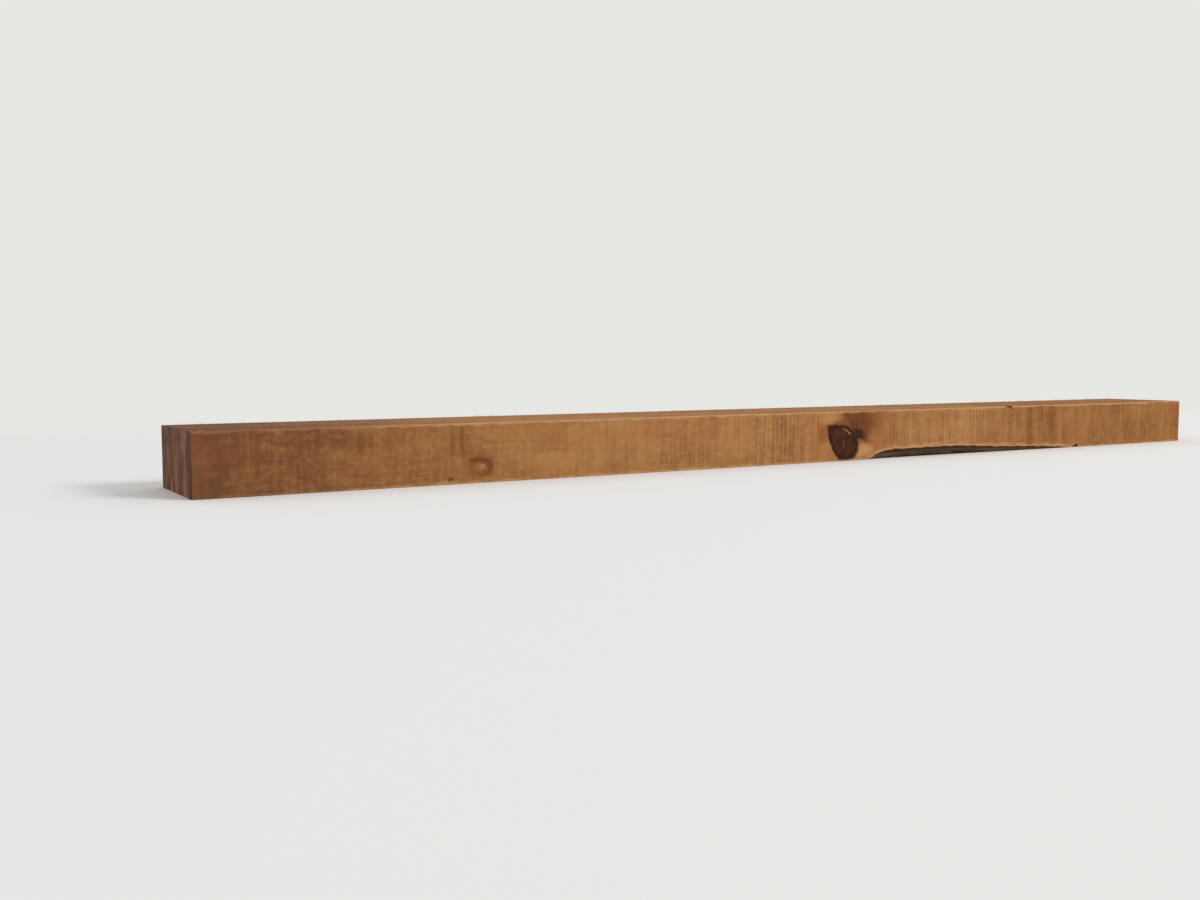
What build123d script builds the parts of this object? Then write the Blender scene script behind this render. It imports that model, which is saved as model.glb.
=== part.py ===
"""New softwood railway sleeper: one baulk sawn from one round log, in millimetres.

X runs along the sleeper, from the end that the photograph shows to the other one. The long narrow
face that the photograph shows looks along -Y, and +Z is up. The origin is at the middle of the
underside, which is flat and is what the sleeper lies on.

The baulk is what four saw cuts leave of a round log. The log was big enough for three of the four
long arrises. Along the fourth, the lower one on the shown face, it ran in behind a branch, so the
saw met its rounded outside there and left wane: a lens of the log's own surface in place of the
arris. The source makes it that way, as the box of the saw cuts and the log that it was cut from.
"""

from build123d import *

import os
from math import hypot

# The sawn section and the length it is cut to.
LENGTH = 2400.0
WIDTH = 200.0
THICKNESS = 100.0

# Sawn arrises are sharp, but handling breaks their fibres.
LONG_ARRIS_RADIUS = 1.6
END_ARRIS_CHAMFER = 1.0

# The heart of the log, from the shown face and from the underside.
PITH_FROM_FACE = 122.0
PITH_FROM_UNDERSIDE = 72.0

# How far outside the wany arris the log's surface stands, before the branch and at the far end.
LOG_SPARE_AT_BRANCH = 9.0
LOG_SPARE_AT_FAR_END = 4.0
BRANCH_SWELLING = 130.0

# The wane: where it starts, from the shown end, the three stretches that follow each other from
# there, and how far it reaches up the shown face at its widest. Behind the branch the log runs in
# quickly, then levels off, and in the tail it swells back slowly, with half its depth gone half-way.
WANE_START = 1336.0
WANE_QUICK_LENGTH = 50.0
WANE_LEVELLING_LENGTH = 46.0
WANE_TAIL_LENGTH = 573.0
WANE_HEIGHT = 18.5
WANE_QUICK_SHARE = 0.88
WANE_HALF_WAY_SHARE = 0.5

# The log is longer than the baulk that was cut to length from it.
LOG_TRIM = 60.0

# Slivers torn off the shown arrises, each from the shown end. They deepen along the grain and
# break off square.
TOP_SLIVER_START = 1750.0
TOP_SLIVER_LENGTH = 24.0
TOP_SLIVER_DEPTH = 4.5
LOWER_SLIVER_START = 1980.0
LOWER_SLIVER_LENGTH = 26.0
LOWER_SLIVER_DEPTH = 5.5


def log_radius(height_on_face):
    """The log's radius where its surface meets the shown face this far above the underside."""
    return hypot(PITH_FROM_FACE, PITH_FROM_UNDERSIDE - height_on_face)


def sawn_baulk():
    """The box that the four saw cuts and the two end cuts leave, with its arrises broken."""
    baulk = Box(LENGTH, WIDTH, THICKNESS, align=(Align.CENTER, Align.CENTER, Align.MIN))
    baulk = fillet(baulk.edges().filter_by(Axis.X), LONG_ARRIS_RADIUS)
    ends = baulk.faces().filter_by(Axis.X)
    return chamfer(ends.edges(), END_ARRIS_CHAMFER)


def log_outline():
    """The log's surface in plan about its heart, as one curve from before its start to past its end."""
    shown_end = -LENGTH / 2
    start = shown_end + WANE_START
    levelling = start + WANE_QUICK_LENGTH
    widest = levelling + WANE_LEVELLING_LENGTH
    end = widest + WANE_TAIL_LENGTH
    whole = log_radius(0)
    run_in = [
        (min(shown_end, start - BRANCH_SWELLING) - LOG_TRIM, whole + LOG_SPARE_AT_BRANCH),
        (start - BRANCH_SWELLING, whole + LOG_SPARE_AT_BRANCH),
        (start, whole),
        (levelling, log_radius(WANE_HEIGHT * WANE_QUICK_SHARE)),
        (widest, log_radius(WANE_HEIGHT)),
    ]
    swell_back = [
        (widest, log_radius(WANE_HEIGHT)),
        (widest + WANE_TAIL_LENGTH / 2, log_radius(WANE_HEIGHT * WANE_HALF_WAY_SHARE)),
        (end, whole),
        (max(LENGTH / 2, end) + LOG_TRIM, whole + LOG_SPARE_AT_FAR_END),
    ]
    level = [(1, 0), (1, 0)]
    return Spline(run_in, tangents=level) + Spline(swell_back, tangents=level)


def round_log():
    """The log as one turned solid about its heart."""
    surface = log_outline()
    first = surface @ 0
    last = surface @ 1
    heart = Polyline(last, (last.X, 0), (first.X, 0), first)
    turned = revolve(make_face((surface + heart).edges()), axis=Axis.X, revolution_arc=360)
    return Pos(0, PITH_FROM_FACE - WIDTH / 2, PITH_FROM_UNDERSIDE) * turned


def torn_sliver(start, length, depth, height, inward):
    """The wedge torn from the shown face's arris at this height; inward is +1 up or -1 down."""
    corner = (start - LENGTH / 2, -WIDTH / 2, height)
    across_arris = Plane(origin=corner, x_dir=(1, 0, 0), z_dir=(0, -inward, 1))
    outline = Polyline((0, 0), (0, -depth), (length, -depth), (length, depth), close=True)
    return extrude(across_arris * make_face(outline), amount=2 * depth, both=True)


def sleeper():
    """The baulk, less what lay outside the log and what was torn off since."""
    timber = sawn_baulk() & round_log()
    timber -= torn_sliver(TOP_SLIVER_START, TOP_SLIVER_LENGTH, TOP_SLIVER_DEPTH, THICKNESS, -1)
    timber -= torn_sliver(LOWER_SLIVER_START, LOWER_SLIVER_LENGTH, LOWER_SLIVER_DEPTH, 0, 1)
    return timber


def main():
    os.makedirs("parts", exist_ok=True)
    timber = sleeper()
    export_step(timber, "parts/sleeper.step")
    removed = LENGTH * WIDTH * THICKNESS - timber.volume
    print("sleeper", timber.bounding_box().size, "volume", round(timber.volume))
    print("gone at the wane, the slivers and the arrises", round(removed))


main()
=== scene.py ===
"""The looks of one new softwood railway sleeper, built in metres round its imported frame.

The timber is pine, sawn rough with a bandsaw and pressure treated brown. What shows is the saw's
marks across the faces, the rings of one log, a large dead knot with the grain swirling past it, the
log's own surface where the saw ran out of wood along the lower arris, and torn fibres.
"""

import math

import bpy
import numpy as np
from mathutils import Matrix, Vector
from mathutils.geometry import delaunay_2d_cdt


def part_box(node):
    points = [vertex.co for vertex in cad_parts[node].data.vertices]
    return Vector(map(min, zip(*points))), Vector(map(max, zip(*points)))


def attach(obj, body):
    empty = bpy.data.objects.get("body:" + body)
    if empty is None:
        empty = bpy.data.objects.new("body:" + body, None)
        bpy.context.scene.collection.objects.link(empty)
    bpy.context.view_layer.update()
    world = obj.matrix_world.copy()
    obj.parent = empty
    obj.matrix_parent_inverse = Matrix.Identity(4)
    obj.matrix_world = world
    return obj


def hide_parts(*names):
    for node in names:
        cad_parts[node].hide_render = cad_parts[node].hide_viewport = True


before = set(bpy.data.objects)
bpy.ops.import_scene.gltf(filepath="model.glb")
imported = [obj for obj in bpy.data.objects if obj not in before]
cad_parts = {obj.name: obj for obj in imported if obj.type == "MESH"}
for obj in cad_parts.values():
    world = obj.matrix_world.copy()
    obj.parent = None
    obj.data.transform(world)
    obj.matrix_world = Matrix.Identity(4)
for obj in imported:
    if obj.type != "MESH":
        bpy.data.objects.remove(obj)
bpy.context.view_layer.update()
LOW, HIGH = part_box("sleeper")

# Sawn section and length, from the frame.
LENGTH = HIGH.x - LOW.x
FRONT = LOW.y
BACK = HIGH.y
THICKNESS = HIGH.z

# The broken arrises and the heart of the log, as in the part.
ARRIS_RADIUS = 0.0016
END_CHAMFER = 0.0010
HEART = (0.0, 0.022, 0.072)

# The wane: how far it reaches up the shown face behind the knot, then its stations, each with its
# distance from the shown end and its share of that height. The tail is read from the photograph and
# is a little fuller than the solid's. It ends at this share of its last stretch's slope.
WANE_HEIGHT = 0.0185
WANE_STATIONS = ((1.336, 0.0), (1.386, 0.88), (1.432, 1.0), (1.570, 1.03), (1.660, 0.86),
                 (1.7185, 0.68), (1.830, 0.47), (1.930, 0.22), (2.005, 0.0))
WANE_END_SLOPE = 0.6

# Small waves of the wane's edge, each with its length, swing and start in radians. They are whole
# where the wane is at least this high.
WANE_WAVES = ((0.047, 0.00045, 0.4), (0.029, 0.00030, 1.9), (0.0173, 0.00018, 3.1))
WAVES_WHOLE_ABOVE = 0.004

# The log's finish narrows to nothing between these heights of wane, and its ridges are whole above
# the next one.
WANE_RUNS_OUT = (0.0007, 0.0032)
RIDGES_WHOLE_ABOVE = 0.003

# The pale edge above the wane, lifted fibres with a painted highlight, is wider than along a whole arris
# by the inverse of this.
WANE_PALE_EDGE_SPREAD = 0.55

# Slivers torn off the shown arrises: start from the shown end, length and depth.
TOP_SLIVER = (1.750, 0.024, 0.0045)
LOWER_SLIVER = (1.980, 0.026, 0.0055)

# The saw's marks: their pitch at the shown end, where the feed was slow, and further along, where and
# over what length that changes, how much they lean and how deep they are.
SLOW_FEED_PITCH = 0.0058
FAST_FEED_PITCH = 0.0104
FEED_CHANGE = 0.62
FEED_CHANGE_LENGTH = 0.22
SAW_LEAN = 0.012
SAW_DEPTH = 0.00030

# Over how much of each end the marks straighten up, and over how much they fade out.
LEAN_FADES_OVER = 0.05
MARKS_FADE_OVER = 0.004

# The rest of the mesh's relief, at its deepest.
LOG_RIDGES = 0.0016
END_ROUGHNESS = 0.0007
TORN_ROUGHNESS = 0.0018

# How finely the skin is divided: columns for each saw mark, counted on a scale of so many points,
# rows round the section, how much the front's rows crowd toward its edges, half the gap between the
# columns where a sliver broke off, and the net on the ends.
COLUMNS_PER_MARK = 6
MARK_SCALE_POINTS = 24001
ROWS = {"bed": 4, "wane": 8, "front": 24, "front_arris": 3, "top": 9, "back_arris": 2, "back": 3,
        "low_arris": 2}
EDGE_CROWDING = 0.3
BREAK_HALF_GAP = 1e-4
END_NET = 0.004

# The skin is smooth across edges that turn less than this.
SMOOTH_BELOW = math.radians(28)

# Which finish a face of the skin has.
SAWN, END_GRAIN, LOG_SURFACE = 0, 1, 2

# The baking map's side in pixels, the gap between its strips, and how many strips each group of rows
# is cut into, with their height. Then how much of a strip the wane and an arris take beside the
# front, how high any other arris is against a face, and how much of half the map an end cut takes.
MAP_SIDE = 1024
MAP_GAP = 4
MAP_GROUPS = ((("wane", "front", "front_arris"), 3, 152), (("top", "back_arris"), 2, 124),
              (("back",), 2, 40), (("low_arris", "bed"), 2, 60))
WANE_SHARE_OF_STRIP = 0.16
ARRIS_SHARE_OF_STRIP = 0.04
ARRIS_AGAINST_FACE = 0.3
END_CUT_SHARE = 0.34

# The main knot on the shown face: its middle from the shown end and above the underside, half sizes,
# turn, how much narrower its upper end is, and how high its nearly level top edge lies.
KNOT_ALONG = 1.2662
KNOT_UP = 0.0432
KNOT_HALF_LENGTH = 0.0488
KNOT_HALF_WIDTH = 0.0307
KNOT_TURN = math.radians(-49.8)
KNOT_EGG = -0.24
KNOT_TOP = 0.0730

# How wide one year's ring is on average.
RING_WIDTH = 0.0034

# How far up and across the baulk a saw band keeps its tone, and how deep a stain goes in.
BAND_BREAK_UP = 0.085
BAND_BREAK_ACROSS = 0.18
PATCH_DEPTH = 0.012

# How the finish changes along the sleeper: between which places from the shown end, and from what to
# what. Near that end the bands show less, the wood is darker, and its pale marks are fainter.
BANDS_SHOW = ((0.40, 1.15), (0.36, 1.0))
TONE_ALONG = ((-0.10, 0.65), (0.25, 0.68))
FAR_PART = ((1.62, 1.85), (0.0, 1.0))
PALE_MARKS_ALONG = ((0.08, 0.50), (0.30, 1.0))

# Stains on the shown face: middle from the shown end and above the underside, half sizes, turn in
# degrees, colour and strength. First the dark halo, spur and pale flare round the main knot.
STAINS = (
    ((1.302, 0.090), (0.058, 0.022), 0.0, "#69371a", 0.90),
    ((1.336, 0.082), (0.060, 0.028), 0.0, "#7a4420", 0.75),
    ((1.316, 0.066), (0.044, 0.032), -10.0, "#663718", 0.85),
    ((1.312, 0.053), (0.024, 0.012), -28.0, "#371506", 0.95),
    ((1.323, 0.045), (0.014, 0.006), -30.0, "#371506", 0.75),
    ((1.342, 0.034), (0.024, 0.007), -33.0, "#7c4822", 0.70),
    ((1.328, 0.020), (0.030, 0.014), 14.0, "#bc8d58", 0.70),
    ((1.217, 0.056), (0.017, 0.022), 0.0, "#874e2c", 0.78),
    ((1.236, 0.087), (0.032, 0.013), 3.0, "#b3824c", 0.55),
    ((1.234, 0.018), (0.011, 0.013), 0.0, "#91644a", 0.55),
    ((1.212, 0.026), (0.022, 0.018), 0.0, "#a2682a", 0.40),
    ((1.390, 0.050), (0.060, 0.050), 0.0, "#8f5a2a", 0.38),
    ((1.386, 0.071), (0.010, 0.009), 0.0, "#ae6534", 0.50),
    ((0.020, 0.050), (0.050, 0.090), 0.0, "#64402a", 0.40),
    ((0.045, 0.045), (0.020, 0.018), 0.0, "#5f3c22", 0.30),
    ((0.250, 0.076), (0.034, 0.016), 0.0, "#6f4224", 0.35),
    ((0.420, 0.074), (0.034, 0.034), 0.0, "#74451f", 0.25),
    ((0.462, 0.034), (0.034, 0.024), 0.0, "#7a4a26", 0.40),
    ((1.596, 0.088), (0.014, 0.017), 0.0, "#8a5428", 0.40),
    ((1.834, 0.062), (0.013, 0.060), 0.0, "#6b3e19", 0.50),
    ((1.909, 0.070), (0.017, 0.055), 0.0, "#6b3e19", 0.55),
    ((1.898, 0.015), (0.028, 0.006), 0.0, "#9a5c2a", 0.55),
)

# Finer marks, listed the same way: dark streaks by the main knot, its broken pale crescent and the
# paler wood below that, then the small ring of a knot near the shown end, and what lies beside it.
FINE_MARKS = (
    ((1.2945, 0.0710), (0.0022, 0.0100), 0.0, "#432009", 0.75),
    ((1.3060, 0.0700), (0.0024, 0.0100), 0.0, "#432009", 0.65),
    ((1.2620, 0.0765), (0.0250, 0.0058), -6.0, "#7a4522", 0.60),
    ((1.2765, 0.0622), (0.0085, 0.0017), -20.0, "#86634a", 0.75),
    ((1.2845, 0.0575), (0.0085, 0.0022), -38.0, "#946c50", 0.85),
    ((1.2740, 0.0560), (0.0024, 0.0060), 8.0, "#624434", 0.60),
    ((1.2715, 0.0350), (0.0055, 0.0100), 0.0, "#57382a", 0.65),
    ((1.2520, 0.0260), (0.0060, 0.0030), 35.0, "#52301e", 0.55),
    ((1.2870, 0.0400), (0.0070, 0.0030), -50.0, "#4b2c18", 0.50),
    ((0.4660, 0.0272), (0.0245, 0.0175), -6.0, "#6b3c1e", 0.68),
    ((0.4620, 0.0382), (0.0230, 0.0055), -4.0, "#61321a", 0.68),
    ((0.4815, 0.0265), (0.0062, 0.0145), 4.0, "#613219", 0.58),
    ((0.4730, 0.0150), (0.0130, 0.0045), 18.0, "#64361b", 0.48),
    ((0.4635, 0.0262), (0.0155, 0.0100), -6.0, "#8f5e36", 0.90),
    ((0.4670, 0.0280), (0.0060, 0.0042), 0.0, "#ad7850", 0.75),
    ((0.4310, 0.0700), (0.0045, 0.0320), 1.0, "#633a1c", 0.50),
    ((0.4135, 0.0560), (0.0040, 0.0360), -1.0, "#633a1c", 0.40),
    ((0.4090, 0.0080), (0.0040, 0.0055), 0.0, "#56260f", 0.80),
)

# Weathering along the wane, listed the same way.
LOG_STAINS = (
    ((1.381, 0.008), (0.036, 0.012), 0.0, "#565338", 0.65),
    ((1.450, 0.006), (0.036, 0.012), 0.0, "#4f3a22", 0.50),
    ((1.510, 0.006), (0.038, 0.012), 0.0, "#36361f", 0.75),
    ((1.700, 0.004), (0.130, 0.012), 0.0, "#57482f", 0.50),
)

# The torn fibres: how far apart they root along an arris, the shortest and the longest, the share
# that is kept where they are thickest, and the seed that they are drawn with.
FIBRE_SPACING = 0.0014
SHORTEST_FIBRE = 0.0022
LONGEST_FIBRE = 0.010
FIBRES_KEPT = 0.85
FIBRE_SEED = 7

# A fibre's shapes at a length of one: its root, three pairs of a bend and a tip, and its section.
FIBRE_ROOT = (-0.06, 0.0, 0.0)
FIBRE_CURVES = (((0.50, 0.02, 0.03), (1.00, 0.10, 0.16)), ((0.55, -0.06, 0.16), (0.90, -0.16, 0.05)),
                ((0.40, 0.10, 0.05), (0.78, 0.05, 0.34)))
FIBRE_SECTION = (0.040, 0.020)

# Where they root: how far short of the ends, in steps of this length, and how far in from an arris's
# corner, or from the shown face where the wane has taken the arris.
FIBRES_END_SHORT = 0.004
ROOT_STEP = 0.003
ROOT_INSET = 0.3 * ARRIS_RADIUS
ROOT_DEPTH_AT_WANE = 0.0002

# Fibres that would hang lower than this are squeezed up to it, keeping this share of their drop.
FLOOR_CLEARANCE = 0.0004
FLOOR_SQUEEZE = 0.12

# The camera stands as far before the shown end and out from the shown face as the photograph's did,
# but just above the floor. Its focal length is in pixels of the photograph's width.
CAMERA_BEFORE_END = 0.391
CAMERA_FROM_FACE = 1.767
CAMERA_HEIGHT = 0.205
CAMERA_BEARING = math.radians(31.6)
CAMERA_PITCH = math.radians(-4.4)
FOCAL_PIXELS = 1185.0
PHOTO_WIDTH_PIXELS = 1200.0
SENSOR_WIDTH_MM = 36.0

# The studio: the floor, between which distances it fades, the pale background, the even light and
# the lamp. Along the sleeper those distances are doubled.
FLOOR_SIDE = 60.0
FLOOR_COLOUR = "#eae9e7"
FLOOR_FADE = (0.9, 2.6)
FLOOR_FADE_SHAPE = (0.5, 1.0, 1.0)
BACKGROUND = "#e7e7e4"
ROOM_LIGHT = 0.72
KEY_WATTS = 4160.0
KEY_SIDE = 8.8
KEY_PLACE = (15.6, -18.4, 14.4)


def linear(hex_colour):
    """A colour written as sRGB hex, as the linear values that shaders use."""
    channels = [int(hex_colour[i : i + 2], 16) / 255 for i in (1, 3, 5)]
    return [c / 12.92 if c <= 0.04045 else ((c + 0.055) / 1.055) ** 2.4 for c in channels] + [1.0]


def add(tree, kind, inputs=None, stops=(), **settings):
    """Adds a node, sets its ramp and properties, and gives its inputs a value, a node or (node, output)."""
    node = tree.nodes.new(kind)
    for number, (position, colour) in enumerate(stops):
        if number >= len(node.color_ramp.elements):
            node.color_ramp.elements.new(1.0)
        node.color_ramp.elements[number].position = position
        node.color_ramp.elements[number].color = linear(colour)
    for name, value in settings.items():
        setattr(node, name, value)
    for key, value in (inputs or {}).items():
        if isinstance(value, bpy.types.Node):
            tree.links.new(value.outputs[0], node.inputs[key])
        elif isinstance(value, tuple) and isinstance(value[0], bpy.types.Node):
            tree.links.new(value[0].outputs[value[1]], node.inputs[key])
        else:
            node.inputs[key].default_value = value
    return node


def smooth(share):
    """Eases from 0 to 1 as the share does."""
    share = np.clip(share, 0, 1)
    return share * share * (3 - 2 * share)


# The skin of the baulk


def mark_columns():
    """Places from the shown end, the same number to each saw mark, and the saw marks counted there."""
    fine = np.linspace(0, LENGTH, MARK_SCALE_POINTS)
    share = smooth((fine - FEED_CHANGE) / FEED_CHANGE_LENGTH)
    pitch = SLOW_FEED_PITCH + (FAST_FEED_PITCH - SLOW_FEED_PITCH) * share
    marks = np.concatenate([[0], np.cumsum(np.diff(fine) / pitch[1:])])
    even = np.interp(np.arange(0, marks[-1], 1 / COLUMNS_PER_MARK), marks, fine)
    even = even[(even > 2 * END_CHAMFER) & (even < LENGTH - 2 * END_CHAMFER)]
    edges = [0, END_CHAMFER, LENGTH - END_CHAMFER, LENGTH]
    for start, length, _ in (TOP_SLIVER, LOWER_SLIVER):
        edges += [start + length - BREAK_HALF_GAP, start + length + BREAK_HALF_GAP]
    columns = np.unique(np.concatenate([even, edges]))
    return columns, np.interp(columns, fine, marks)


def wane_height(along):
    """How far up the shown face the log's own surface reaches, at these places."""
    places, shares = np.array(WANE_STATIONS).T
    heights = shares * WANE_HEIGHT
    slopes = np.gradient(heights, places)
    slopes[0] = heights[1] / (places[1] - places[0])
    # It stays level along its widest stretch.
    slopes[2:4] = 0.0
    slopes[-1] = -WANE_END_SLOPE * heights[-2] / (places[-1] - places[-2])
    span = np.clip(np.searchsorted(places, along) - 1, 0, len(places) - 2)
    gap = places[span + 1] - places[span]
    t = np.clip((along - places[span]) / gap, 0, 1)
    height = heights[span] + (heights[span + 1] - heights[span]) * t * t * (3 - 2 * t)
    height += gap * (slopes[span] * t * (1 - t) ** 2 - slopes[span + 1] * t * t * (1 - t))
    height = np.where((along > places[0]) & (along < places[-1]), np.maximum(height, 0), 0)
    for wave, swing, start in WANE_WAVES:
        whole = np.clip(height / WAVES_WHOLE_ABOVE, 0, 1)
        height += swing * np.sin(along * 2 * math.pi / wave + start) * whole
    return np.maximum(height, 0)


def arris(y, z, start, rows):
    """Points round a broken arris about its centre, turning clockwise from a start in degrees."""
    angle = np.radians(start - 90 * np.arange(rows) / rows)
    return y + ARRIS_RADIUS * np.cos(angle), z + ARRIS_RADIUS * np.sin(angle)


def steps(name):
    """Even steps from 0 up to but not including 1, one for each row of this strip."""
    return np.arange(ROWS[name]) / ROWS[name]


def sections(log_height):
    """The section at each column as y and z, rows running along the bed, up the front and round."""
    height = np.maximum(log_height, ARRIS_RADIUS)[:, None]
    log_radius = np.hypot(HEART[1] - FRONT, HEART[2] - log_height)[:, None]
    under = HEART[1] - FRONT - np.sqrt(np.maximum(log_radius**2 - HEART[2] ** 2, 0))
    under = np.maximum(under, ARRIS_RADIUS)
    far, top = BACK - ARRIS_RADIUS, THICKNESS - ARRIS_RADIUS

    t = steps("wane") * math.pi / 2
    wane_y = FRONT + under * (1 - np.sin(t))
    wane_z = height * (1 - np.cos(t))
    away = np.hypot(wane_y - HEART[1], wane_z - HEART[2])
    pull = np.where(log_height[:, None] > 0, np.minimum(1, log_radius / away), 1)
    wane_y = HEART[1] + (wane_y - HEART[1]) * pull
    wane_z = HEART[2] + (wane_z - HEART[2]) * pull

    bed, top_steps, back = steps("bed"), steps("top"), steps("back")
    crowded = 0.5 - 0.5 * np.cos(math.pi * steps("front"))
    front = (1 - EDGE_CROWDING) * steps("front") + EDGE_CROWDING * crowded
    strips = [
        (far + (FRONT + under - far) * bed, 0 * bed),
        (wane_y, wane_z),
        (FRONT + 0 * front, height + (top - height) * front),
        arris(FRONT + ARRIS_RADIUS, top, 180, ROWS["front_arris"]),
        (FRONT + ARRIS_RADIUS + (far - FRONT - ARRIS_RADIUS) * top_steps, THICKNESS + 0 * top_steps),
        arris(far, top, 90, ROWS["back_arris"]),
        (BACK + 0 * back, top + (ARRIS_RADIUS - top) * back),
        arris(far, ARRIS_RADIUS, 0, ROWS["low_arris"]),
    ]
    columns = len(log_height)
    y = np.hstack([np.broadcast_to(strip[0], (columns, strip[0].shape[-1])) for strip in strips])
    z = np.hstack([np.broadcast_to(strip[1], (columns, strip[1].shape[-1])) for strip in strips])
    return y, z


def tear(along, y, z, sliver, corner, inward):
    """Takes a torn sliver off the shown face's arris at this height, and says where it did."""
    start, length, depth = sliver
    torn = (along > start) & (along < start + length)
    wanted = np.where(torn, depth * (along - start) / length, 0)[:, None]
    away = ((y - FRONT) + inward * (z - corner)) / math.sqrt(2)
    push = np.maximum(wanted - away, 0) / math.sqrt(2)
    return y + push, z + inward * push, push > 0


def end_cap(rim, outward):
    """Fills an end's rim with an even net of points. Returns the points within it and the faces."""
    side = -outward
    inset = 0.75 * END_NET
    across = np.arange(FRONT + inset, BACK - inset / 2, END_NET)
    up = np.arange(inset, THICKNESS - inset / 2, END_NET)
    net = np.array([(y, z) for y in across for z in up])
    flat = [Vector((-side * y, z)) for y, z in np.vstack([rim, net])]
    loop = [(i, (i + 1) % len(rim)) for i in range(len(rim))]
    points, _, faces, origins, _, _ = delaunay_2d_cdt(flat, loop, [], 1, 1e-7)
    order = [source[0] for source in origins]
    return net, [[order[i] for i in face] for face in faces]


def row_spans():
    """The first row of each strip and the row after its last."""
    ends = np.cumsum(list(ROWS.values()))
    return {name: (int(end - rows), int(end)) for (name, rows), end in zip(ROWS.items(), ends)}


def baking_rows():
    """For each row of faces, its lower and upper height in its strip of the map, group and base."""
    spans = row_spans()
    table = np.zeros((sum(ROWS.values()), 4))
    base = MAP_GAP
    for group, (names, strips, height) in enumerate(MAP_GROUPS):
        sizes = [ARRIS_AGAINST_FACE if "arris" in name else 1.0 for name in names]
        if "wane" in names:
            front_share = 1 - WANE_SHARE_OF_STRIP - ARRIS_SHARE_OF_STRIP
            sizes = [WANE_SHARE_OF_STRIP, front_share, ARRIS_SHARE_OF_STRIP]
        edges = np.concatenate([[0], np.cumsum(sizes)]) / sum(sizes)
        for name, low, high in zip(names, edges, edges[1:]):
            first, last = spans[name]
            share = np.linspace(low, high, last - first + 1)
            table[first:last, 0] = share[:-1]
            table[first:last, 1] = share[1:]
            table[first:last, 2] = group
            table[first:last, 3] = base
        base += strips * (height + MAP_GAP)
    return table, base


def side_map(columns):
    """Where the corners of the side faces lie on the baking map, and how high up it the end cuts start."""
    table, caps_base = baking_rows()
    middle = (columns[1:] + columns[:-1]) / 2
    strips = np.array([MAP_GROUPS[int(group)][1] for group in table[:, 2]])
    heights = np.array([MAP_GROUPS[int(group)][2] for group in table[:, 2]])
    turn = np.floor(middle[:, None] * strips / LENGTH)
    span = LENGTH / strips
    usable = MAP_SIDE - 2 * MAP_GAP
    left = MAP_GAP + (columns[:-1, None] - turn * span) / span * usable
    right = MAP_GAP + (columns[1:, None] - turn * span) / span * usable
    lower = table[:, 3] + turn * (heights + MAP_GAP) + table[:, 0] * heights
    upper = table[:, 3] + turn * (heights + MAP_GAP) + table[:, 1] * heights
    corners = [(left, lower), (right, lower), (right, upper), (left, upper)]
    places = np.stack([np.stack(corner, -1) for corner in corners], 2).reshape(-1, 2) / MAP_SIDE
    return places, caps_base


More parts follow.
